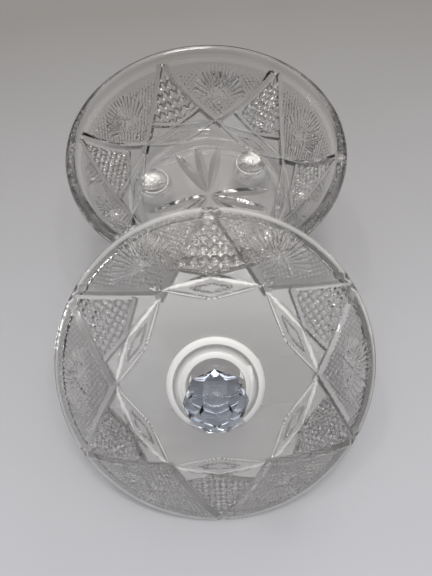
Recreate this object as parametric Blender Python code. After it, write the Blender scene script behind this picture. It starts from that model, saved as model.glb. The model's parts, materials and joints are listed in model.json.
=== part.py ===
"""Cut-glass covered bowl: a round bowl on three ball feet, with its domed lid leaning against the front.

Metres, +Z up. The origin is on the table, at the centre of the footprint of the bowl and the leaning lid.
The bowl's axis is vertical. The lid swings about a line parallel to X, on the bowl's axis and below the
table, from where it leans to where it lies closed on the bowl. Both rims stay on spheres about that line.
"""

import math

import bpy

# Bowl
bowl_radius = 0.073
bowl_height = 0.067
bowl_wall = 0.006
bowl_base_radius = 0.046
bowl_base_thickness = 0.006
bowl_wall_curve = 1.35

# Feet: glass balls, ground flat below and fused above
foot_radius = 0.0115
foot_ground_radius = 0.004
foot_height = 0.0177
foot_circle_radius = 0.036
foot_angles = (40.0, 160.0, 280.0)

# Lid
lid_overhang = 0.003
lid_wall = 0.006
lid_dome_height = 0.026
lid_dome_wall = 0.0055
lid_dome_curve = 2.6
lid_past_rim = 0.018

# Pedestal drawn up from the dome for the knob
pedestal_foot_radius = 0.0145
pedestal_waist_radius = 0.0100
pedestal_waist_height = 0.0015
pedestal_top_radius = 0.0078
pedestal_height = 0.004

# Knob: a straight neck, then radius and height of each ring of facet corners, then a flat table
knob_sides = 8
knob_neck_radius = 0.0065
knob_neck_height = 0.002
knob_taper_radius = 0.0106
knob_taper_height = 0.006
knob_girdle_radius = 0.0128
knob_girdle_height = 0.014
knob_crown_radius = 0.0106
knob_crown_height = 0.020
knob_table_radius = 0.0062
knob_height = 0.024

# Fits
fused_gap = 0.0003
rim_clearance = 0.00034
swing_search = 2.0

# Glass
glass_ior = 1.52
bowl_tint = (0.95, 0.95, 0.94)
foot_tint = (0.94, 0.95, 0.95)
lid_tint = (0.96, 0.96, 0.95)
knob_tint = (0.90, 0.93, 0.96)
cut_roughness = 0.02
foot_roughness = 0.03
knob_roughness = 0.01

# Roundness
ring_steps = 72
foot_steps = 24
wall_points = 8
rim_points = 6

# What follows from the sizes above
bowl_rim_round = bowl_wall / 2
lid_rim_round = lid_wall / 2
lid_radius = bowl_radius + lid_overhang
lid_lean = math.asin(bowl_height / (2 * lid_radius - lid_past_rim))
base_z = foot_height + fused_gap
floor_z = base_z + bowl_base_thickness


def swing_heights():
    """Heights of the middles of the bowl's and the lid's rim rings over the swing line.

    Two things set them: the leaning lid's edge meets the table, and the two rings keep to spheres about the
    swing line that are one rim clearance further apart than the rims are thick.
    """
    bowl_ring = bowl_radius - bowl_rim_round
    lid_ring = lid_radius - lid_rim_round
    apart = bowl_rim_round + lid_rim_round + rim_clearance
    raised = lid_ring * math.sin(lid_lean) + lid_rim_round + bowl_rim_round - bowl_height
    low, high = 0.0, swing_search
    for _ in range(60):
        middle = (low + high) / 2
        lid_ring_height = (middle + raised) / math.cos(lid_lean)
        if math.hypot(lid_ring_height, lid_ring) < math.hypot(middle, bowl_ring) + apart:
            low = middle
        else:
            high = middle
    return middle, lid_ring_height


bowl_ring_height, lid_ring_height = swing_heights()
hinge_z = bowl_height - bowl_rim_round - bowl_ring_height
lid_arm = lid_ring_height - lid_rim_round
lean_reach = lid_ring_height * math.sin(lid_lean) + lid_radius * math.cos(lid_lean)
bowl_y = (lean_reach - bowl_radius) / 2


def clear_scene():
    for old in list(bpy.data.objects):
        bpy.data.objects.remove(old, do_unlink=True)


def glass(name, colour, roughness):
    """A clear glass material with its own faint tint."""
    material = bpy.data.materials.new(name)
    material.use_nodes = True
    shader = material.node_tree.nodes["Principled BSDF"]
    shader.inputs["Base Color"].default_value = (*colour, 1.0)
    shader.inputs["Metallic"].default_value = 0.0
    shader.inputs["Roughness"].default_value = roughness
    shader.inputs["IOR"].default_value = glass_ior
    shader.inputs["Transmission Weight"].default_value = 1.0
    return material


def arc(centre_r, centre_z, radius, start, end, points):
    """Points (r, z) on an arc between two angles in degrees, counted from +R towards +Z, both ends kept."""
    found = []
    for i in range(points + 1):
        angle = math.radians(start + (end - start) * i / points)
        found.append((centre_r + radius * math.cos(angle), centre_z + radius * math.sin(angle)))
    return found


def turned(name, profile, steps, material):
    """A solid turned about its own Z axis from a profile that runs from the axis, down its outer side."""
    mesh = bpy.data.meshes.new(name)
    edges = [(i, i + 1) for i in range(len(profile) - 1)]
    mesh.from_pydata([(r, 0.0, z) for r, z in profile], edges, [])
    solid = bpy.data.objects.new(name, mesh)
    bpy.context.collection.objects.link(solid)
    screw = solid.modifiers.new("Turn", "SCREW")
    screw.axis = "Z"
    screw.angle = math.tau
    screw.steps = steps
    screw.render_steps = steps
    screw.use_smooth_shade = True
    screw.use_merge_vertices = True
    screw.merge_threshold = 0.00001
    mesh.materials.append(material)
    return solid


def bowl_profile():
    """Floor, inner wall, rounded rim, outer wall and underside, from the middle of the floor outwards."""
    rim_z = bowl_height - bowl_rim_round
    rim_r = bowl_radius - bowl_rim_round
    inner_base = bowl_base_radius - bowl_wall
    inner_top = bowl_radius - bowl_wall
    profile = [(0.0, floor_z)]
    for i in range(wall_points):
        share = i / wall_points
        r = inner_base + (inner_top - inner_base) * share
        profile.append((r, floor_z + (rim_z - floor_z) * share**bowl_wall_curve))
    profile += arc(rim_r, rim_z, bowl_rim_round, 180.0, 0.0, rim_points)
    for i in range(1, wall_points + 1):
        share = 1 - i / wall_points
        r = bowl_base_radius + (bowl_radius - bowl_base_radius) * share
        profile.append((r, base_z + (rim_z - base_z) * share**bowl_wall_curve))
    profile.append((0.0, base_z))
    return profile


def foot_profile():
    """A ball with a flat fused to the bowl above and a flat ground below."""
    centre_z = math.sqrt(foot_radius**2 - foot_ground_radius**2)
    top = math.degrees(math.asin((foot_height - centre_z) / foot_radius))
    bottom = -math.degrees(math.acos(foot_ground_radius / foot_radius))
    return [(0.0, foot_height)] + arc(0.0, centre_z, foot_radius, top, bottom, wall_points) + [(0.0, 0.0)]


def dome_height_at(r, rim_r, rise):
    """Height of a dome of this rise over its rounded rim, at a distance from the axis."""
    return lid_rim_round + rise * (1 - (r / rim_r) ** lid_dome_curve)


def lid_profile():
    """Pedestal, dome, rounded rim and hollow. Height 0 is the lid's lowest rim line."""
    outer_rise = lid_dome_height - lid_rim_round
    inner_rise = outer_rise - lid_dome_wall
    inner_radius = lid_radius - lid_wall
    top_z = lid_dome_height + pedestal_height
    profile = [(0.0, top_z), (pedestal_top_radius, top_z)]
    profile.append((pedestal_waist_radius, lid_dome_height + pedestal_waist_height))
    for i in range(wall_points):
        r = pedestal_foot_radius + (lid_radius - pedestal_foot_radius) * i / wall_points
        profile.append((r, dome_height_at(r, lid_radius, outer_rise)))
    rim_r = lid_radius - lid_rim_round
    profile += arc(rim_r, lid_rim_round, lid_rim_round, 0.0, -180.0, rim_points)
    for i in range(1, wall_points + 1):
        r = inner_radius * (1 - i / wall_points)
        profile.append((r, dome_height_at(r, inner_radius, inner_rise)))
    return profile


def knob_profile():
    """A faceted knob: table, crown, girdle, and a taper down to the neck. Height 0 is its seat."""
    return [
        (0.0, knob_height),
        (knob_table_radius, knob_height),
        (knob_crown_radius, knob_crown_height),
        (knob_girdle_radius, knob_girdle_height),
        (knob_taper_radius, knob_taper_height),
        (knob_neck_radius, knob_neck_height),
        (knob_neck_radius, 0.0),
        (0.0, 0.0),
    ]


def make_bowl():
    bowl = turned("bowl", bowl_profile(), ring_steps, glass("bowl_glass", bowl_tint, cut_roughness))
    bowl.location = (0.0, bowl_y, 0.0)


def make_feet():
    for number, degrees in enumerate(foot_angles, start=1):
        ball_glass = glass(f"foot_{number}_glass", foot_tint, foot_roughness)
        foot = turned(f"foot_{number}", foot_profile(), foot_steps, ball_glass)
        angle = math.radians(degrees)
        across = foot_circle_radius * math.cos(angle)
        foot.location = (across, bowl_y + foot_circle_radius * math.sin(angle), 0.0)


def make_lid():
    swing = bpy.data.objects.new("lid_swing", None)
    bpy.context.collection.objects.link(swing)
    swing.location = (0.0, bowl_y, hinge_z)
    swing.rotation_euler = (lid_lean, 0.0, 0.0)
    lid = turned("lid", lid_profile(), ring_steps, glass("lid_glass", lid_tint, cut_roughness))
    lid.parent = swing
    lid.location = (0.0, 0.0, lid_arm)
    knob = turned("lid_knob", knob_profile(), knob_sides, glass("knob_glass", knob_tint, knob_roughness))
    knob.modifiers["Turn"].use_smooth_shade = False
    knob.parent = swing
    knob.location = (0.0, 0.0, lid_arm + lid_dome_height + pedestal_height + fused_gap)


clear_scene()
make_bowl()
make_feet()
make_lid()
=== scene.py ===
import json
import math

import bpy
import numpy as np
from mathutils import Matrix, Vector


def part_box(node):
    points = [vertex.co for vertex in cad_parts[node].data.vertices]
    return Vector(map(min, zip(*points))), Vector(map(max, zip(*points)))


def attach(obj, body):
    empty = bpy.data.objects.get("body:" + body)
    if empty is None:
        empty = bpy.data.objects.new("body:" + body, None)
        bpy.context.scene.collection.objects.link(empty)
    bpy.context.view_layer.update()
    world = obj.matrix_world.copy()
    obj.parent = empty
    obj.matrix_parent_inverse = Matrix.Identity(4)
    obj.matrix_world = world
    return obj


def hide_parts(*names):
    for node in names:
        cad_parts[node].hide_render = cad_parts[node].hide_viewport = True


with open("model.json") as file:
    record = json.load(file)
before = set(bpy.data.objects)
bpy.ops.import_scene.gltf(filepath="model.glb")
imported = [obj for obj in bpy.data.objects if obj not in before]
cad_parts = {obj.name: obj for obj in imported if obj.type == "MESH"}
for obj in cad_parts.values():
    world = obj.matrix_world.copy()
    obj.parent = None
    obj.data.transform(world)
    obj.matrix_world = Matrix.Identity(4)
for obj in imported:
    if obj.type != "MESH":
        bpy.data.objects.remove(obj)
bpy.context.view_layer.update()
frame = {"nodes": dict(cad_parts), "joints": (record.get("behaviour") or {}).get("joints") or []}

# Shapes below are worked out in millimetres, and put into the meshes in metres.
millimetre = 0.001
glassIor = 1.52

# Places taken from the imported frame
swing = frame["joints"][0]
swingPoint = np.array(swing["pos_m"]) / millimetre
lidLean = math.radians(-swing["range_deg"][0])
leanTurn = np.array(Matrix.Rotation(lidLean, 3, "X"))


def nodeMiddle(node):
    # halfway between a node's lowest and highest corners
    low, high = (np.array(corner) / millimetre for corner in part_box(node))
    return (low + high) / 2


def nodePoints(node):
    # the corners of a node's mesh, one row each
    mesh = frame["nodes"][node].data
    flat = np.empty(len(mesh.vertices) * 3)
    mesh.vertices.foreach_get("co", flat)
    return flat.reshape(-1, 3) / millimetre


def lidFrame(points):
    # from the whole set's frame to the lid's own: the swing point taken off, then turned back by the lean
    return (points - swingPoint) @ leanTurn


def setFrame(points):
    # the way back, from the lid's own frame
    return points @ leanTurn.T + swingPoint


lidRimHeight = lidFrame(nodePoints("lid"))[:, 2].min()
knobSeat = lidFrame(nodePoints("lid_knob"))[:, 2].min() - lidRimHeight
print("frame read: lid leans", round(math.degrees(lidLean), 1), "degrees")


def ringFaces(rows, steps):
    # quads between the rows of a ring grid, a fan of triangles from the pole before its first row, and
    # another to the pole after its last row
    row = np.arange(rows - 1)[:, None] * steps + 1
    step = np.arange(steps)
    after = (step + 1) % steps
    quads = np.stack([row + step, row + steps + step, row + steps + after, row + after], -1).reshape(-1, 4)
    firstFan = np.stack([np.zeros(steps, int), 1 + step, 1 + after], -1)
    lastRow, lastPole = 1 + (rows - 1) * steps, 1 + rows * steps
    lastFan = np.stack([np.full(steps, lastPole), lastRow + after, lastRow + step], -1)
    return quads.tolist() + firstFan.tolist() + lastFan.tolist()


def addPiece(name, points, faces, sharpAngle, paints):
    # a mesh whose place is in its points, with a painted number at each point for every name in paints
    # above an angle of 0 it is smooth, but for edges sharper than the angle
    mesh = bpy.data.meshes.new(name)
    mesh.from_pydata((points * millimetre).tolist(), [], faces)
    if sharpAngle > 0:
        mesh.shade_smooth()
        mesh.set_sharp_from_angle(angle=math.radians(sharpAngle))
    for layerName, paint in paints.items():
        layer = mesh.attributes.new(layerName, "FLOAT", "POINT")
        layer.data.foreach_set("value", paint.astype(np.float32))
    mesh.validate()
    piece = bpy.data.objects.new(name, mesh)
    bpy.context.scene.collection.objects.link(piece)
    return piece


def roundAngles(steps):
    # even steps all round
    return np.arange(steps) * 2 * math.pi / steps


def onRings(r, z, angle):
    # points at distance r from the axis, height z, turned by the angle
    return np.stack([r * np.cos(angle), r * np.sin(angle), z + 0 * angle], -1)


def ringRows(profileR, profileZ, angle):
    # one ring for each point of a profile
    return [onRings(r, z, angle) for r, z in zip(profileR, profileZ)]


def halfRound(middleR, middleZ, radius, startAngle, endAngle, count):
    # an arc in the profile plane, without its two ends
    turn = np.radians(np.linspace(startAngle, endAngle, count + 2)[1:-1])
    return middleR + radius * np.cos(turn), middleZ + radius * np.sin(turn)


# The star cut, laid out flat on a disc. Six wide mitres join every second star point at the rim. Each side of
# the hexagon between them carries a long lozenge, each star point a field of buttons, and each kite between
# two points a crosshatched diamond and a fan of prism cuts.
star = {
    "rim": 76.0,
    "side": 38.0,  # distance of a hexagon side from the middle
    "corner": 21.9,  # half a hexagon side
    "sideShifts": (1.6, 3.0, 0.0, -0.2, 0.0, 0.6),  # the cutter's hand: each side a little out
    # width, depth and satin (0 polished, 1 left matt from the wheel) of each kind of cut; the satin also
    # greys the glass as painted shade
    "mitre": (4.6, 1.7, 0.2),
    "spear": (3.4, 1.5, 0.15),
    "inner": (1.7, 0.85, 0.1),
    "lozenge": (1.1, 0.5, 0.1),
    "cross": (1.8, 0.8, 0.1),
    # where they run, along a hexagon side and out from it
    "mitreStart": 1.5,  # back from the corner
    "spearEnd": (16.4, 9.6),
    "innerStart": (1.0, 0.2),  # past the corner
    "innerDrop": 4.5,
    "innerLap": 0.5,  # how far two cuts that meet run past the middle
    "lozengeHalf": (9.5, 1.9),
    "lozengeLap": 0.3,
    "crossStart": (13.0, 9.0),
    "crossEnd": (-11.0, 28.0),
    # the painted glints, white highlights on the edges of the long lozenges: widths of outer and inner, lap
    # past the middle, and crispness
    "glintEdges": (2.1, 0.8),
    "glintLap": 0.6,
    "glintCrisp": 2.5,
    # painted shade: a cut's flank is greyer where it looks this way along x and y, away from the window light
    "paintedShadeWay": (0.7, 0.7),
    "paintedFlankShade": 1.0,
    # grid points settle on a cut within this much of the gap to the next point, and this far beside the cut
    "settleShare": 0.45,
    "settleBeside": 0.5,
}

# The fields between the cuts: buttons from the hexagon's side outwards, and kites from its corner outwards.
fields = {
    "rimGap": 2.0,
    "rimFade": 5.0,
    "start": 6.9,
    "startVee": 0.27,
    "edgeGap": 1.2,
    "edgeShift": 0.3,
    "buttonPitch": (2.9, 4.6, 2.9, 2.7, 2.7, 2.7),
    "buttonDepth": 1.15,
    "buttonRadius": 0.48,  # in pitches
    "buttonRound": 2.4,
    "buttonSatinShade": (0.1, 0.5),  # on top of a button, and how much more beside it
    "kiteGap": 4.6,
    # how far out the diamond starts and ends, and how fast it opens and closes
    "diamondStart": (2.2, 0.5),
    "diamondEnd": (14.5, 0.62),
    "hatchTurn": 0.7,  # radians
    "hatchPitch": 1.9,
    "hatchDepth": 0.7,
    "hatchBeside": 0.8,  # share of the depth beside the fan
    "hatchSatinShade": (0.18, 0.6),
    "fanStart": 13.5,
    "fanSpread": 82.0,  # degrees on each side
    "fanReach": (1.0, 15.5),
    "fanPitch": 10.0,  # degrees between prisms
    "fanGrow": 9.0,  # distance at which the prisms are full
    "fanDepth": 0.75,
    "fanSatinShade": (0.18, 0.7),
    # painted glints, white highlights at the bottom of the prisms: how much, from what share of their depth
    # and over what share, and from what distance
    "rayGlint": 0.6,
    "rayRidge": (0.7, 0.3),
    "rayStart": 2.5,
}


def swell(shape, share):
    # how wide a cut is along its length: even, leaf (pointed at both ends) or spear (growing from its start)
    if shape == "leaf":
        return np.sqrt(np.clip(4 * share * (1 - share), 0, 1))
    if shape == "spear":
        return 0.2 + 0.8 * np.clip(share, 0, 1)
    return np.ones_like(share)


def turned(points, degrees):
    # points turned about the middle, against the clock
    angle = math.radians(degrees)
    c, s = math.cos(angle), math.sin(angle)
    return [(x * c - y * s, x * s + y * c) for x, y in points]


def sectorTurn(sector):
    # degrees from the layout about +Y to a sector's star point, which is at 30 + 60 * sector
    return 60 * sector - 60


def starCuts():
    # every straight cut as (start, end, width, depth, satin, shape)
    cuts = []
    root = star["side"] / math.cos(math.radians(30))
    mitreX = star["corner"] - star["mitreStart"]
    spearX, spearY = star["spearEnd"]
    innerX, innerY = star["innerStart"]
    lozengeX, lozengeY = star["lozengeHalf"]
    (crossX, crossY), (crossEndX, crossEndY) = star["crossStart"], star["crossEnd"]

    def cut(kind, shape, turn, hand, start, end):
        # mirrored where the hand is -1, then turned to its star point
        ends = turned([(hand * x, y) for x, y in (start, end)], turn)
        cuts.append((*ends, *star[kind], shape))

    for sector, shift in enumerate(star["sideShifts"]):
        turn = sectorTurn(sector)
        side = star["side"] + shift
        reach = math.sqrt(star["rim"] ** 2 - side**2)
        innerEnd = (-star["innerLap"], side - star["innerDrop"])
        for hand in (-1, 1):
            cut("mitre", "even", turn, hand, (mitreX, side), (reach, side))
            cut("spear", "spear", turn, hand, (-star["corner"], side), (spearX, side + spearY))
            cut("inner", "leaf", turn, hand, (star["corner"] + innerX, side + innerY), innerEnd)
            for rise in (-1, 1):
                lozengeEnd = (-star["lozengeLap"], side + rise * lozengeY)
                cut("lozenge", "leaf", turn, hand, (lozengeX, side), lozengeEnd)
            # two mitres that cross in the kite clockwise of this star point, about its own middle line
            cut("cross", "leaf", turn - 30, hand, (crossX, root + crossY), (crossEndX, root + crossEndY))
    return cuts


def starGlints():
    # the painted glints, white highlight edges, as (start, end, width)
    glints = []
    drop = star["innerDrop"]
    outer, inner = star["glintEdges"]
    for sector, shift in enumerate(star["sideShifts"]):
        side = star["side"] + shift
        for hand in (-1, 1):
            for rise, width in ((drop, outer), (-drop, inner)):
                ends = [(hand * star["corner"], side), (-hand * star["glintLap"], side + rise)]
                glints.append((*turned(ends, sectorTurn(sector)), width))
    return glints


def alongAndOff(x, y, start, end):
    # share of the way along a line, distance off it (plus on its left), and the line's own run and length
    (ax, ay), (bx, by) = start, end
    dx, dy = bx - ax, by - ay
    length = math.hypot(dx, dy)
    share = ((x - ax) * dx + (y - ay) * dy) / length**2
    return share, ((y - ay) * dx - (x - ax) * dy) / length, dx, dy, length


def glintPaint(x, y, glints):
    # painted glint: 1 on a white highlight edge's line, falling to 0 at its pointed outline
    paint = np.zeros_like(x)
    for start, end, width in glints:
        share, off, *_ = alongAndOff(x, y, start, end)
        edge = star["glintCrisp"] * (swell("leaf", share) - 2 * np.abs(off) / width)
        paint = np.maximum(paint, edge.clip(0, 1) * ((share > 0) & (share < 1)))
    return paint


def cutDepth(x, y, cuts):
    # the deepest of all V grooves, each full on its line and falling evenly to nothing at half its width,
    # with its satin, and painted shade on the flank that looks away from the window light
    depth, satin = np.zeros_like(x), np.zeros_like(x)
    for start, end, width, deep, matt, shape in cuts:
        share, off, dx, dy, length = alongAndOff(x, y, start, end)
        # painted shade on the flank that looks away from the light
        facing = np.sign(off) * (dy * star["paintedShadeWay"][0] - dx * star["paintedShadeWay"][1]) / length
        groove = deep * (swell(shape, share) - 2 * np.abs(off) / width).clip(0) * ((share > 0) & (share < 1))
        satin = np.where(groove > depth, matt + star["paintedFlankShade"] * facing.clip(0, 1), satin)
        depth = np.maximum(depth, groove)
    return depth, satin


def ripple(value):
    # a zigzag: 0 at whole numbers, 1 halfway between
    return 1 - np.abs(2 * (value % 1) - 1)


def fadeToRim(x, y):
    # 1 well inside the rim, falling to 0 just short of it
    return np.clip((star["rim"] - fields["rimGap"] - np.hypot(x, y)) / fields["rimFade"], 0, 1)


def acrossAndOut(x, y, angle):
    # distances across a middle line and out along it, where the angle turns +Y to that line
    return x * math.cos(angle) + y * math.sin(angle), -x * math.sin(angle) + y * math.cos(angle)


def fieldDepth(x, y):
    # star points: a square grid of buttons, deeper by a power of the distance from a button's middle
    # kites: a crosshatched diamond at the root, a fan of prisms beyond it, and crosshatch beside the fan
    depth, satin, white = np.zeros_like(x), np.zeros_like(x), np.zeros_like(x)

    def lay(where, groove, plainMatt, moreMatt, share, paint=0.0):
        # cuts a groove where it is deeper than what is there, with its own satin, which also paints shade,
        # and its own painted glint
        nonlocal depth, satin, white
        groove = np.where(where, groove, 0)
        satin = np.where(groove > depth, plainMatt + moreMatt * share, satin)
        white = np.where(groove > depth, paint, white)
        depth = np.maximum(depth, groove)

    root = star["side"] / math.cos(math.radians(30))
    inRim = np.hypot(x, y) < star["rim"] - fields["rimGap"]
    (diamondLow, opening), (diamondHigh, closing) = fields["diamondStart"], fields["diamondEnd"]
    fanNear, fanFar = fields["fanReach"]
    rayFrom, rayOver = fields["rayRidge"]
    for sector, shift in enumerate(star["sideShifts"]):
        angle = math.radians(sectorTurn(sector))
        across, out = acrossAndOut(x, y, angle)
        low = star["side"] + shift + fields["start"] + fields["startVee"] * np.abs(across)
        half = (star["rim"] - out) / math.sqrt(3) - fields["edgeGap"] + shift * fields["edgeShift"]
        pitch = fields["buttonPitch"][sector]
        u, v = (across / pitch) % 1 - 0.5, (out / pitch) % 1 - 0.5
        edge = np.minimum(np.hypot(u, v) / fields["buttonRadius"], 1)
        groove = fields["buttonDepth"] * edge ** fields["buttonRound"]
        lay((out > low) & (np.abs(across) < half) & inRim, groove, *fields["buttonSatinShade"], edge**3)

        across, out = acrossAndOut(x, y, angle - math.radians(30))
        across = np.abs(across)
        kite = (across < (out - root) * math.sqrt(3) - fields["kiteGap"]) & inRim
        diamond = across < (out - root - diamondLow) * opening
        diamond = diamond & (across < (root + diamondHigh - out) * closing)
        turns = fields["hatchTurn"], fields["hatchTurn"] + math.pi / 2
        lines = [(across * math.cos(t) + out * math.sin(t)) / fields["hatchPitch"] for t in turns]
        hatch = 1 - np.minimum(*[ripple(line) for line in lines])
        fanOut = out - root - fields["fanStart"]
        fanAngle = np.degrees(np.arctan2(across, fanOut))
        fanR = np.hypot(across, fanOut)
        fan = kite & ~diamond & (fanAngle < fields["fanSpread"]) & (fanR > fanNear) & (fanR < fanFar)
        ridge = ripple(fanAngle / fields["fanPitch"])
        prism = ridge * np.clip(fanR / fields["fanGrow"], 0, 1)
        # painted glint along the bottom of each prism
        rayGlintPaint = fields["rayGlint"] * np.clip((ridge - rayFrom) / rayOver, 0, 1) * (fanR > fields["rayStart"])
        beside = fields["hatchDepth"] * fields["hatchBeside"] * hatch
        lay(diamond, fields["hatchDepth"] * hatch, *fields["hatchSatinShade"], hatch)
        lay(fan, fields["fanDepth"] * prism, *fields["fanSatinShade"], prism, rayGlintPaint)
        lay(kite & ~diamond & ~fan, beside, *fields["hatchSatinShade"], hatch)
    return depth, satin, white


def cutAndField(x, y, starX, starY, cuts, fieldScale=1.0):
    # depth, satin (with its painted shade) and painted glints of the straight cuts over the fields, the
    # deeper winning
    cut, satin = cutDepth(x, y, cuts)
    field, fieldSatinShade, rayGlints = fieldDepth(starX, starY)
    field = field * fieldScale * fadeToRim(starX, starY)
    satin = np.where(cut >= field, satin * (cut > 0), fieldSatinShade)
    return np.maximum(cut, field), satin, rayGlints * (field > cut)


def settle(r, x, y, cuts, most, fixedRows):
    # moves a grid point that lies near a cut's middle line, or near an even cut's edge, straight onto it
    # near is at most a share of the gap to the next point round the ring
    reach = np.minimum(most, star["settleShare"] * r * 2 * math.pi / x.shape[1]) + 0 * x
    reach[fixedRows] = 0
    newX, newY = x.copy(), y.copy()
    for start, end, width, _, _, shape in cuts:
        share, off, dx, dy, length = alongAndOff(x, y, start, end)
        band = (share > 0) & (share < 1) & (np.abs(off) < width / 2 + star["settleBeside"])
        for shift in (0.0, -width / 2, width / 2) if shape == "even" else (0.0,):
            left = off - shift
            near = band & (np.abs(left) < reach)
            newX = np.where(near, x + left * dy / length, newX)
            newY = np.where(near, y - left * dx / length, newY)
            reach = np.where(near, np.abs(left), reach)
    return newX, newY


cuts = starCuts()
glints = starGlints()
print("star laid out:", len(cuts), "straight cuts")


lid = {
    "steps": 840,
    "radius": 76.0,
    "wall": 6.0,
    "domeHeight": 26.0,
    "domeWall": 5.5,
    "curve": 2.6,
    # radius and height of each ring of the pedestal, from the middle of its top
    "pedestal": ((3.8, 30.0), (7.3, 30.0), (7.6, 30.0), (7.8, 29.6), (8.5, 29.1), (9.6, 28.75)),
    # two round collars under the pedestal: radius, height of the top, width and height of the rounded edge
    "collars": ((14.8, 28.6, 2.4, 1.5), (20.8, 27.0, 3.0, 1.7)),
    "collarRows": 9,
    # painted highlight: a white ring on the collars, left off at the front
    "collarHighlight": 1.0,
    "collarGap": (32.0, 6.0),  # degrees from the front that stay clear, and that it takes to whiten
    "clearStart": 0.3,  # past the last collar
    "clearRadius": 31.0,
    "clearRows": 8,
    "bandRows": 84,
    "rimRows": 7,
    "insideRows": 7,
    "settleMost": 0.24,
    "normalStep": 0.05,
    "cutEnd": (0.35, 1.2),  # the cuts reach nothing this far past the edge, and are full this far inside that
    # painted light, a pale lightening of the glass, clear and cut: all over, more towards the back, and more
    # towards the front
    "clearBrightening": (0.26, 0.10, 0.34),
    "cutBrightening": (0.0, 0.05, 0.24),
    "brighteningReach": (30.0, 50.0),  # distances to the back and to the front at which the painted lightening is full
    "cutTouch": 0.02,  # depth from which the glass counts as cut
    # the painted highlight line of the edge, with its distance from the edge and half width, and the painted
    # shade on the outermost edge, darkest towards +x
    "edgeHighlight": 0.6,
    "edgeHighlightLine": (1.1, 0.7),
    "edgeShade": 1.4,  # clipped at 1, so that it is darkest over a broad stretch
    "edgeShadeTurn": 8.0,
    "edgeBand": 0.75,
}


def domeHeight(r, rise, radius):
    # the rise, less a power of the distance from the axis
    return lid["wall"] / 2 + rise * (1 - np.clip(r / radius, 0, 1) ** lid["curve"])


def outerDome(r):
    # the dome outside, which reaches its full height on the axis
    return domeHeight(r, lid["domeHeight"] - lid["wall"] / 2, lid["radius"])


def lidSkin(r, angle, depth):
    # the dome's point at distance r and this angle, moved in along the dome's normal by the depth
    step = lid["normalStep"]
    slope = (outerDome(r + step) - outerDome(r - step)) / (2 * step)
    length = np.sqrt(1 + slope**2)
    return onRings(r + depth * slope / length, outerDome(r) - depth / length, angle)


def paintedBrightening(y, brightening):
    # painted light: the first lightening all over, with the square of the distance from the lid's middle line
    # times the second towards the back and times the third towards the front
    allOver, back, front = brightening
    backReach, frontReach = lid["brighteningReach"]
    return allOver + back * np.clip(y / backReach, 0, 1) ** 2 + front * np.clip(-y / frontReach, 0, 1) ** 2


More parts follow.
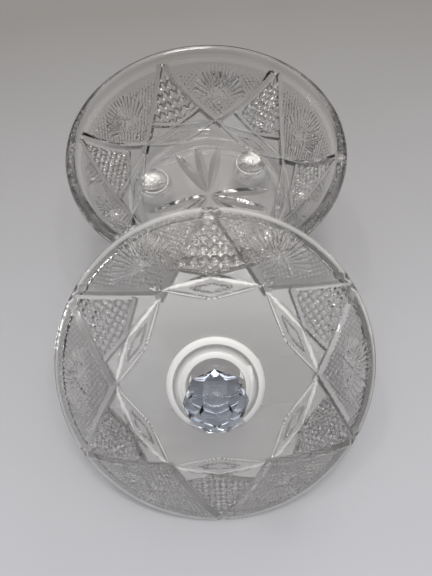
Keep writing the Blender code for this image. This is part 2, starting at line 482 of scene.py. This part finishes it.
def makeLid():
    # rings from the top of the pedestal over the collars, the clear middle and the cut band, round the rim
    # (half a circle in section) and up the hollow, whose dome is lower by the glass
    steps, edgeR = lid["steps"], lid["radius"]
    angle = roundAngles(steps)
    rows = ringRows(*zip(*lid["pedestal"]), angle)
    plain = np.zeros(steps)
    paintedLightRows = [plain] * len(rows)
    # painted highlight: the collars' white ring, clear at the front
    fromFront = np.abs((np.degrees(angle) + 90 + 180) % 360 - 180)
    gap, whiten = lid["collarGap"]
    collarHighlight = np.clip((fromFront - gap) / whiten, 0, 1) * lid["collarHighlight"]
    for radius, height, broad, tall in lid["collars"]:
        turn = np.radians(np.linspace(90, 0, lid["collarRows"]))
        rows += ringRows(radius - broad + broad * np.cos(turn), height - tall + tall * np.sin(turn), angle)
        paintedLightRows += [plain] + [collarHighlight] * (lid["collarRows"] - 1)
    clearR = np.linspace(lid["collars"][-1][0] + lid["clearStart"], lid["clearRadius"], lid["clearRows"])
    rows += [lidSkin(np.full(steps, r), angle, plain) for r in clearR]
    # painted light: the clear middle lightened
    paintedLightRows += [paintedBrightening(r * np.sin(angle), lid["clearBrightening"]) for r in clearR]
    satinShadeRows = [plain] * len(rows)

    r = np.linspace(lid["clearRadius"], edgeR, lid["bandRows"] + 1)[1:, None]
    x, y = r * np.cos(angle), r * np.sin(angle)
    x, y = settle(r, x, y, cuts, lid["settleMost"], [-1])
    # satin, which is rougher glass and also painted shade, from the cuts and fields
    cut, satin, rayGlints = cutAndField(x, y, x, y, cuts)
    r = np.hypot(x, y)
    cutEnd, cutFull = lid["cutEnd"]
    cut *= np.clip((edgeR + cutEnd - r) / cutFull, 0, 1)
    rows += list(lidSkin(r, np.arctan2(y, x), cut))
    # painted shade on the outermost edge and round the rim, darkest towards +x
    edgeShade = np.clip(lid["edgeShade"] * np.cos(angle - math.radians(lid["edgeShadeTurn"])), 0, 1)
    satinShadeRows += list(np.where(r > edgeR - lid["edgeBand"], edgeShade, satin))
    # painted light: the glass lightened, less where it is cut
    brightening = np.where(cut > lid["cutTouch"], paintedBrightening(y, lid["cutBrightening"]), paintedBrightening(y, lid["clearBrightening"]))
    # a painted highlight line just inside the edge
    lineIn, lineHalf = lid["edgeHighlightLine"]
    edge = lid["edgeHighlight"] * np.clip(1 - np.abs(r - edgeR + lineIn) / lineHalf, 0, 1)
    paintedLightRows += list(np.maximum(np.maximum(brightening, edge), np.maximum(glintPaint(x, y, glints), rayGlints)))

    rimRound = lid["wall"] / 2
    rows += ringRows(*halfRound(edgeR - rimRound, rimRound, rimRound, 0, -180, lid["rimRows"]), angle)
    hollowR = edgeR - lid["wall"]
    rise = lid["domeHeight"] - rimRound - lid["domeWall"]
    inside = np.linspace(1, 0, lid["insideRows"] + 1)[:-1] * hollowR
    rows += ringRows(inside, domeHeight(inside, rise, hollowR), angle)
    satinShadeRows += [edgeShade] * lid["rimRows"] + [plain] * len(inside)
    paintedLightRows += [plain] * (len(rows) - len(paintedLightRows))

    points = np.concatenate([[[0, 0, lid["pedestal"][0][1]]], *rows, [[0, 0, rimRound + rise]]])
    points[:, 2] += lidRimHeight
    paints = {"satin": satinShadeRows, "white": paintedLightRows}
    paints = {layer: np.concatenate([[0.0], *values, [0.0]]) for layer, values in paints.items()}
    piece = addPiece("lidGlass", setFrame(points), ringFaces(len(rows), steps), 17, paints)
    print("lid made:", len(rows), "rows of", steps)
    return piece


knob = {
    "sides": 8,
    # radius, height above the seat, and turn in half sides of each ring of corners
    "rings": (
        (6.45, 0.0, 0),
        (6.45, 2.0, 0),
        (10.5, 6.0, 0),
        (12.75, 14.0, 0),
        (10.7, 19.6, 1),
        (6.3, 24.0, 0),
    ),
    "edgeWidth": 0.25,
    "edgeSegments": 2,
}


def makeKnob():
    # rings of corners joined by flat panes: triangles where a ring is turned half a side from the last, and
    # four-sided elsewhere
    sides = knob["sides"]
    step = np.arange(sides)
    after = (step + 1) % sides
    rings = []
    for radius, height, halfTurns in knob["rings"]:
        angle = (step + halfTurns / 2) * 2 * math.pi / sides
        rings.append(onRings(radius, knobSeat + height, angle))
    points = np.concatenate(rings)
    points[:, 2] += lidRimHeight
    faces = [step[::-1].tolist(), (step + (len(rings) - 1) * sides).tolist()]
    for ring in range(len(rings) - 1):
        low, high = ring * sides, (ring + 1) * sides
        turnLow, turnHigh = knob["rings"][ring][2], knob["rings"][ring + 1][2]
        if turnLow == turnHigh:
            panes = [(low + step, low + after, high + after, high + step)]
        elif turnHigh > turnLow:
            panes = [(low + step, low + after, high + step), (high + step, low + after, high + after)]
        else:
            panes = [(low + step, low + after, high + after), (low + step, high + after, high + step)]
        for corners in panes:
            faces += np.stack(corners, -1).tolist()
    piece = addPiece("knobGlass", setFrame(points), faces, 0, {})
    edge = piece.modifiers.new("polishedEdges", "BEVEL")
    edge.width = knob["edgeWidth"] * millimetre
    edge.segments = knob["edgeSegments"]
    print("knob made:", len(faces), "panes")
    return piece


bowl = {
    "steps": 768,
    "radius": 73.0,
    "height": 67.0,
    "wall": 6.0,
    "baseRadius": 46.0,
    "baseZ": 18.0,
    "baseThickness": 6.0,
    "curve": 1.35,
    "starTurn": 21.0,
    "plainRim": 5.0,  # uncut band under the rim, along the wall
    "cutEnd": 0.5,  # the cuts run out from this far below the band to this far into it
    "rimShade": 0.36,
    # how much wider the painted glints are on the bowl
    "glintScale": 1.7,
    "fieldScale": 1.6,
    "profilePoints": 400,
    "floorRows": 4,
    "insideRows": 12,
    "rimRows": 8,
    "wallRows": 76,
    "baseRows": 27,
    "settleMost": 0.26,
    "normalStep": 0.3,
    # three sprays of three leaves under the floor
    "leafTurns": (100.0, 220.0, 340.0),
    "leafSpread": 22.0,
    "leafEnds": (3.0, 37.0),
    "leaf": (6.4, 1.3, 0.2),  # width, depth and satin
}


def bowlWall(share, inside):
    # the wall's point (r, z): r grows evenly with the share, z with a power of it
    thick = bowl["wall"] if inside else 0.0
    low = bowl["baseZ"] + (bowl["baseThickness"] if inside else 0.0)
    r = bowl["baseRadius"] - thick + (bowl["radius"] - bowl["baseRadius"]) * share
    z = low + (bowl["height"] - bowl["wall"] / 2 - low) * share ** bowl["curve"]
    return r, z


def bowlCuts(scale):
    # the star's straight cuts wrapped under the bowl at this scale, and the leaves
    wrapped = []
    for start, end, width, deep, matt, shape in cuts:
        ends = turned([np.array(start) / scale, np.array(end) / scale], bowl["starTurn"])
        wrapped.append((*ends, width / scale, deep, matt, shape))
    for turn in bowl["leafTurns"]:
        for spread in (-bowl["leafSpread"], 0.0, bowl["leafSpread"]):
            ends = turned([(along, 0) for along in bowl["leafEnds"]], turn + spread)
            wrapped.append((*ends, *bowl["leaf"], "leaf"))
    return wrapped


def makeBowl():
    # rings over the floor, up the inner wall, round the rim (half a circle in section), and down the cut
    # outside to the middle of the underside: there each point is placed by its distance along the profile,
    # and sunk by the depth of its cut along the profile's normal
    steps = bowl["steps"]
    angle = roundAngles(steps)
    wallR, wallZ = bowlWall(np.linspace(0, 1, bowl["profilePoints"]), False)
    lineR, lineZ = np.append(0.0, wallR), np.append(bowl["baseZ"], wallZ)
    along = np.append(0.0, np.cumsum(np.hypot(np.diff(lineR), np.diff(lineZ))))
    fullLength = along[-1]
    cutLength = fullLength - bowl["plainRim"]
    scale = star["rim"] / cutLength

    floorZ = bowl["baseZ"] + bowl["baseThickness"]
    floorR = np.linspace(0, bowl["baseRadius"] - bowl["wall"], bowl["floorRows"] + 1)[1:-1]
    rows = [onRings(r, floorZ, angle) for r in floorR]
    rows += ringRows(*bowlWall(np.linspace(0, 1, bowl["insideRows"]), True), angle)
    rimRound = bowl["wall"] / 2
    middle = bowl["radius"] - rimRound, bowl["height"] - rimRound
    rows += ringRows(*halfRound(*middle, rimRound, 180, 0, bowl["rimRows"]), angle)
    plain = len(rows)

    wallAlong = np.linspace(fullLength, bowl["baseRadius"], bowl["wallRows"])
    baseAlong = np.linspace(bowl["baseRadius"], 0, bowl["baseRows"] + 1)[1:-1]
    rho = np.concatenate([wallAlong, baseAlong])[:, None]
    x, y = rho * np.cos(angle), rho * np.sin(angle)
    wallCuts = bowlCuts(scale)
    x, y = settle(rho, x, y, wallCuts, bowl["settleMost"], [0, len(wallAlong) - 1])
    ((starX, starY),) = turned([(x, y)], -bowl["starTurn"])
    starX, starY = starX * scale, starY * scale
    # satin, which is rougher glass and also painted shade, from the cuts and fields
    cut, satin, rayGlints = cutAndField(x, y, starX, starY, wallCuts, bowl["fieldScale"])
    # painted glints on the lozenge edges and along the prisms
    wideGlints = [(start, end, width * bowl["glintScale"]) for start, end, width in glints]
    white = np.maximum(glintPaint(starX, starY, wideGlints), rayGlints)
    rho = np.hypot(x, y)
    cut *= np.clip(cutLength - rho + bowl["cutEnd"], 0, 1)
    r, z = np.interp(rho, along, lineR), np.interp(rho, along, lineZ)
    ahead, behind = rho + bowl["normalStep"], rho - bowl["normalStep"]
    bendR = np.interp(ahead, along, lineR) - np.interp(behind, along, lineR)
    bendZ = np.interp(ahead, along, lineZ) - np.interp(behind, along, lineZ)
    length = np.hypot(bendR, bendZ)
    rows += list(onRings(r - cut * bendZ / length, z + cut * bendR / length, np.arctan2(y, x)))

    points = np.concatenate([[[0, 0, floorZ]], *rows, [[0, 0, bowl["baseZ"]]]])
    points[:, :2] += nodeMiddle("bowl")[:2]
    insideSatinShade = np.zeros(plain * steps + 1)
    insideSatinShade[-bowl["rimRows"] * steps:] = bowl["rimShade"]
    satin = np.maximum(satin, bowl["rimShade"] * (rho > cutLength))
    paints = {
        "satin": np.concatenate([insideSatinShade, satin.ravel(), [0.0]]),
        "white": np.concatenate([0 * insideSatinShade, white.ravel(), [0.0]]),
    }
    piece = addPiece("bowlGlass", points, ringFaces(len(rows), steps), 17, paints)
    print("bowl made:", len(rows), "rows of", steps)
    return piece


foot = {
    "steps": 96,
    "rows": 40,
    "radius": 11.5,
    "groundRadius": 4.0,
    "height": 17.7,
    "flatEdge": 0.35,
    "dishDepth": 3.2,
    "dishRows": 16,
    # a mirror finish, standing in for the light the glass ball reflects inside itself, grows from one
    # distance from the foot's axis to the other, but never falls below the least, and there is none up to its
    # height
    "paintedMirror": (0.0, 5.5),
    "leastPaintedMirror": 0.4,
    "paintedMirrorFrom": 6.0,
}


def makeFoot(node):
    # a ball with a flat ground below, and above a flat rim round a dish that is a parabola in section
    steps = foot["steps"]
    angle = roundAngles(steps)
    middleZ = math.sqrt(foot["radius"] ** 2 - foot["groundRadius"] ** 2)
    top = math.asin((foot["height"] - middleZ) / foot["radius"])
    bottom = -math.acos(foot["groundRadius"] / foot["radius"])
    turn = np.linspace(top, bottom, foot["rows"])
    r, z = foot["radius"] * np.cos(turn), middleZ + foot["radius"] * np.sin(turn)
    dishR = np.linspace(0, r[0] - foot["flatEdge"], foot["dishRows"] + 1)[1:]
    dishZ = z[0] - foot["dishDepth"] * (1 - (dishR / dishR[-1]) ** 2)
    r = np.concatenate([dishR, r, [r[-1] - foot["flatEdge"], r[-1] * 0.5]])
    z = np.concatenate([dishZ, z, [z[-1]] * 2])
    middle = [[0, 0, foot["height"] - foot["dishDepth"]]]
    points = np.concatenate([middle, *ringRows(r, z, angle), [[0, 0, z[-1]]]])
    points[:, :2] += nodeMiddle(node)[:2]
    start, full = foot["paintedMirror"]
    # painted reflection: the mirror that stands in for the ball's inner reflections
    white = np.clip((r - start) / (full - start), foot["leastPaintedMirror"], 1) * (z > foot["paintedMirrorFrom"])
    paints = {"white": np.concatenate([[0.0], np.repeat(white, steps), [0.0]])}
    return addPiece(node + "Glass", points, ringFaces(len(r), steps), 30, paints)


class Wire:
    # one output socket of a material, so that sums on it can be written as Python
    def __init__(self, tree, socket=None):
        self.tree = tree
        self.socket = socket

    def make(self, kind, settings, sockets, output=0):
        # a node of this kind, its settings first, then a value or a link for each socket
        node = self.tree.nodes.new(kind)
        for key, value in settings.items():
            if key == "stops":
                # a ramp starts with two stops, so the others are added before all are set
                for place, colour in value[2:]:
                    node.color_ramp.elements.new(place).color = colour
                for element, (place, colour) in zip(node.color_ramp.elements, sorted(value)):
                    element.position, element.color = place, colour
            else:
                setattr(node, key, value)
        for key, value in sockets.items():
            if isinstance(value, Wire):
                self.tree.links.new(value.socket, node.inputs[key])
            else:
                node.inputs[key].default_value = value
        return Wire(self.tree, node.outputs[output])

    def maths(self, operation, *values):
        return self.make("ShaderNodeMath", {"operation": operation}, dict(enumerate(values)))

    def vectorMaths(self, operation, sockets, output=0):
        return self.make("ShaderNodeVectorMath", {"operation": operation}, sockets, output)

    def mix(self, factor, first, second):
        return self.make("ShaderNodeMix", {"data_type": "RGBA"}, {0: factor, 6: first, 7: second}, 2)

    def __add__(self, other):
        return self.maths("ADD", self, other)

    def __mul__(self, other):
        return self.maths("MULTIPLY", self, other)

    __radd__ = __add__
    __rmul__ = __mul__


def newMaterial(name):
    # an empty material with its shader, and a wire to hang nodes on
    material = bpy.data.materials.new(name)
    material.use_nodes = True
    shader = material.node_tree.nodes["Principled BSDF"]
    return material, shader, Wire(material.node_tree)


# What every glass shares, and then the lid and the bowl. Scales are per metre, and waveDepth is in metres.
plainGlass = {
    # the grey at full satin, which is painted shade
    "satinShadeTint": (0.8, 0.8, 0.8),
    "waveDepth": 0.001,
    "polish": 0.0,
    "satin": 0.0,
    "smearNoise": {"Scale": 60.0, "Detail": 4.0, "Distortion": 1.5},
    # the pale finish that the painted light mixes in: its roughness and metal
    "groundRough": 0.5,
    "groundMetal": 0.0,
}
cutTableGlass = {
    **plainGlass,
    "tint": (0.995, 0.98, 0.965),
    "deepTint": (0.975, 0.955, 0.935),
    "satin": 0.2,
    "smear": 0.012,
}
looks = {
    "lid": {
        **cutTableGlass,
        # painted shade: the lid's cut glass greyed darkly
        "satinShadeTint": (0.26, 0.25, 0.24),
        "groundTint": (0.95, 0.935, 0.915),
        "cloudScale": 9.0,
        "waveScale": 45.0,
        "waveStrength": 0.03,
        "ground": 0.95,
    },
    "bowl": {
        **cutTableGlass,
        "satinShadeTint": (0.50, 0.48, 0.46),
        "groundTint": (0.93, 0.93, 0.92),
        "cloudScale": 11.0,
        "waveScale": 50.0,
        "waveStrength": 0.2,
        "ground": 1.0,
    },
    "knob": {
        **plainGlass,
        # painted reflection: a blue-grey tint that stands in for the dark surroundings seen in the facets
        "tint": (0.74, 0.79, 0.88),
        "deepTint": (0.60, 0.66, 0.78),
        "groundTint": (0.93, 0.93, 0.93),
        "cloudScale": 80.0,
        "waveScale": 200.0,
        "waveStrength": 0.02,
        "smear": 0.008,
        "ground": 0.0,
    },
    "foot": {
        **plainGlass,
        "tint": (0.96, 0.965, 0.965),
        "deepTint": (0.92, 0.93, 0.93),
        # painted reflection: a mirror that stands in for the ball's inner reflections
        "groundTint": (0.82, 0.82, 0.82),
        "cloudScale": 70.0,
        "waveScale": 230.0,
        "waveStrength": 1.0,
        "waveDepth": 0.006,
        "smear": 0.01,
        "ground": 0.8,
        "groundRough": 0.06,
        "groundMetal": 1.0,
    },
}


def cutGlass(name, look):
    # clear glass with faint streaks of tint and slow waves in its polish, rougher by the painted satin and
    # greyer by it as painted shade, and mixed by the painted light with a pale finish that paints highlights,
    # glints and lightening (a mirror on the feet)
    material, shader, wire = newMaterial(name)
    place = wire.make("ShaderNodeTexCoord", {}, {}, "Object")
    cloud = wire.make("ShaderNodeTexNoise", {}, {"Vector": place, "Scale": look["cloudScale"], "Detail": 2.0})
    waves = wire.make("ShaderNodeTexNoise", {}, {"Vector": place, "Scale": look["waveScale"], "Detail": 1.0})
    smear = wire.make("ShaderNodeTexNoise", {}, {"Vector": place, **look["smearNoise"]})
    satin = wire.make("ShaderNodeAttribute", {"attribute_name": "satin"}, {}, "Fac")
    clear = wire.mix(cloud, (*look["tint"], 1), (*look["deepTint"], 1))
    # painted shade: the satin greys the glass
    tint = wire.mix(satin, clear, (*look["satinShadeTint"], 1))
    wire.tree.links.new(tint.socket, shader.inputs["Base Color"])
    rough = look["polish"] + satin * look["satin"] + smear * look["smear"]
    wire.tree.links.new(rough.socket, shader.inputs["Roughness"])
    bumpSockets = {"Height": waves, "Strength": look["waveStrength"], "Distance": look["waveDepth"]}
    bump = wire.make("ShaderNodeBump", {}, bumpSockets)
    wire.tree.links.new(bump.socket, shader.inputs["Normal"])
    shader.inputs["IOR"].default_value = glassIor
    shader.inputs["Transmission Weight"].default_value = 1.0
    # the pale finish that the painted light mixes in
    groundSockets = {
        "Base Color": (*look["groundTint"], 1),
        "Roughness": look["groundRough"],
        "Metallic": look["groundMetal"],
    }
    ground = wire.make("ShaderNodeBsdfPrincipled", {}, groundSockets)
    # painted light: highlights, glints and lightening mixed in as a pale finish
    white = wire.make("ShaderNodeAttribute", {"attribute_name": "white"}, {}, "Fac")
    glass = Wire(wire.tree, shader.outputs[0])
    surface = wire.make("ShaderNodeMixShader", {}, {0: white * look["ground"], 1: glass, 2: ground})
    wire.tree.links.new(surface.socket, material.node_tree.nodes["Material Output"].inputs["Surface"])
    return material


lidPiece = makeLid()
lidPiece.data.materials.append(cutGlass("cutLidGlass", looks["lid"]))
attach(lidPiece, "lid")
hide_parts("lid")

knobPiece = makeKnob()
knobPiece.data.materials.append(cutGlass("facetedKnobGlass", looks["knob"]))
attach(knobPiece, "lid")
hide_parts("lid_knob")

bowlPiece = makeBowl()
bowlPiece.data.materials.append(cutGlass("cutBowlGlass", looks["bowl"]))
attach(bowlPiece, "bowl")
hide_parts("bowl")

footGlass = cutGlass("ballFootGlass", looks["foot"])
for number in (1, 2, 3):
    footPiece = makeFoot(f"foot_{number}")
    footPiece.data.materials.append(footGlass)
    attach(footPiece, "bowl")
    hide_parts(f"foot_{number}")
print("feet made")


room = {
    "floorSize": 6.0,
    # painted light: the floor darker and warmer at the back, lighter and bluer at the front
    "floorShadedBack": (0.275, 0.26, 0.245),
    "floorLitFront": (0.60, 0.60, 0.63),
    "floorFade": (0.25, -0.15),  # the y where the back colour ends, and where the front colour is full
    "floorGrain": {"Scale": 12.0, "Detail": 5.0},
    "grainShare": 0.06,
    "floorRough": 0.75,
    # light of the sky by the cosine of the angle from its brightest way
    "skyStops": (
        (0.0, (0.08, 0.082, 0.084, 1)),
        (0.5, (0.12, 0.12, 0.12, 1)),
        (0.75, (0.55, 0.55, 0.55, 1)),
        (0.88, (1.9, 1.88, 1.86, 1)),
    ),
    "skyTop": (0.0, 0.3, 0.954),  # the brightest way, a little behind overhead
    # a broad soft window in the sky: its direction, the cosines of its edge and middle, and its light
    "windowWay": (-0.55, -0.62, 0.56),
    "windowEdge": (0.93, 0.985),
    "windowLight": (0.75, 0.85, 1.0),
    "skyStrength": 0.80,
    "cameraPlace": (0.002, -0.109, 0.250),
    "cameraDown": 66.6,
    "cameraRoll": -2.57,
    "lens": 28.1,
    "sensor": 36.0,
    "clip": (0.01, 20.0),
    # each lamp's name, place, size, watts and colour; all look at the origin
    "lamps": (
        ("ceilingLamp", (0.1, 0.35, 1.5), (0.3, 0.22), 2.5, (1.0, 0.98, 0.95)),
        ("backWindow", (0.5, 1.5, 0.9), (0.6, 0.3), 3.0, (0.95, 0.97, 1.0)),
        ("frontBulb", (0.05, -1.1, 1.05), (0.35, 0.1), 1.6, (1.0, 1.0, 1.0)),
        ("leftBulb", (-0.5, 0.7, 1.5), (0.07, 0.07), 1.6, (1.0, 1.0, 1.0)),
        ("rightBulb", (0.55, 0.1, 1.5), (0.07, 0.07), 1.2, (1.0, 1.0, 1.0)),
    ),
    "bounces": 24,
    "blurGlossy": 0.3,
}


def makeFloor():
    # one plane with painted light, its colour running from dark at the back to light and bluish at the front,
    # with a faint grain
    material, shader, wire = newMaterial("paleFloor")
    place = wire.make("ShaderNodeTexCoord", {}, {}, "Object")
    split = wire.make("ShaderNodeSeparateXYZ", {}, {"Vector": place}, "Y")
    back, full = room["floorFade"]
    front = wire.make("ShaderNodeMapRange", {"clamp": True}, {0: split, 1: back, 2: full, 3: 0.0, 4: 1.0})
    grain = wire.make("ShaderNodeTexNoise", {}, {"Vector": place, **room["floorGrain"]})
    share = front * (1 - room["grainShare"]) + grain * room["grainShare"]
    colour = wire.mix(share, (*room["floorShadedBack"], 1), (*room["floorLitFront"], 1))
    wire.tree.links.new(colour.socket, shader.inputs["Base Color"])
    shader.inputs["Roughness"].default_value = room["floorRough"]
    half = room["floorSize"] / 2
    corners = [(-half, -half, 0), (half, -half, 0), (half, half, 0), (-half, half, 0)]
    mesh = bpy.data.meshes.new("floor")
    mesh.from_pydata(corners, [], [(0, 1, 2, 3)])
    mesh.materials.append(material)
    floor = bpy.data.objects.new("floor", mesh)
    bpy.context.scene.collection.objects.link(floor)


def makeSky():
    # a ramp from the horizon to the brightest way, with one soft window added on top
    world = bpy.data.worlds.new("softLight")
    world.use_nodes = True
    wire = Wire(world.node_tree)
    background = world.node_tree.nodes["Background"]
    direction = wire.make("ShaderNodeTexCoord", {}, {}, "Generated")
    rise = wire.vectorMaths("DOT_PRODUCT", {0: direction, 1: room["skyTop"]}, 1)
    colour = wire.make("ShaderNodeValToRGB", {"stops": room["skyStops"]}, {"Fac": rise})
    way = wire.vectorMaths("NORMALIZE", {0: direction})
    facing = wire.vectorMaths("DOT_PRODUCT", {0: way, 1: room["windowWay"]}, 1)
    edge, full = room["windowEdge"]
    soft = {"interpolation_type": "SMOOTHSTEP"}
    glow = wire.make("ShaderNodeMapRange", soft, {0: facing, 1: edge, 2: full})
    window = wire.vectorMaths("SCALE", {0: room["windowLight"], "Scale": glow})
    light = wire.vectorMaths("ADD", {0: colour, 1: window})
    wire.tree.links.new(light.socket, background.inputs["Color"])
    background.inputs["Strength"].default_value = room["skyStrength"]
    bpy.context.scene.world = world


def makeLamp(name, place, size, watts, colour):
    # a soft rectangular lamp
    light = bpy.data.lights.new(name, "AREA")
    light.shape = "RECTANGLE"
    light.size, light.size_y = size
    light.energy = watts
    light.color = colour
    lamp = bpy.data.objects.new(name, light)
    lamp.location = place
    lamp.rotation_euler = (-Vector(place)).to_track_quat("-Z", "Y").to_euler()
    bpy.context.scene.collection.objects.link(lamp)


def makeCamera():
    # tilted down from level, and rolled about its own line of sight
    data = bpy.data.cameras.new("camera")
    data.lens = room["lens"]
    data.sensor_width = room["sensor"]
    data.clip_start, data.clip_end = room["clip"]
    camera = bpy.data.objects.new("camera", data)
    tilt = Matrix.Rotation(math.radians(90 - room["cameraDown"]), 4, "X")
    roll = Matrix.Rotation(math.radians(room["cameraRoll"]), 4, "Z")
    camera.matrix_world = Matrix.Translation(room["cameraPlace"]) @ tilt @ roll
    bpy.context.scene.collection.objects.link(camera)
    bpy.context.scene.camera = camera


makeFloor()
makeSky()
for lamp in room["lamps"]:
    makeLamp(*lamp)
makeCamera()

scene = bpy.context.scene
scene.view_settings.view_transform = "Standard"
scene.cycles.use_denoising = True
scene.cycles.max_bounces = room["bounces"]
scene.cycles.transmission_bounces = room["bounces"]
scene.cycles.blur_glossy = room["blurGlossy"]
print("floor, light and camera set")
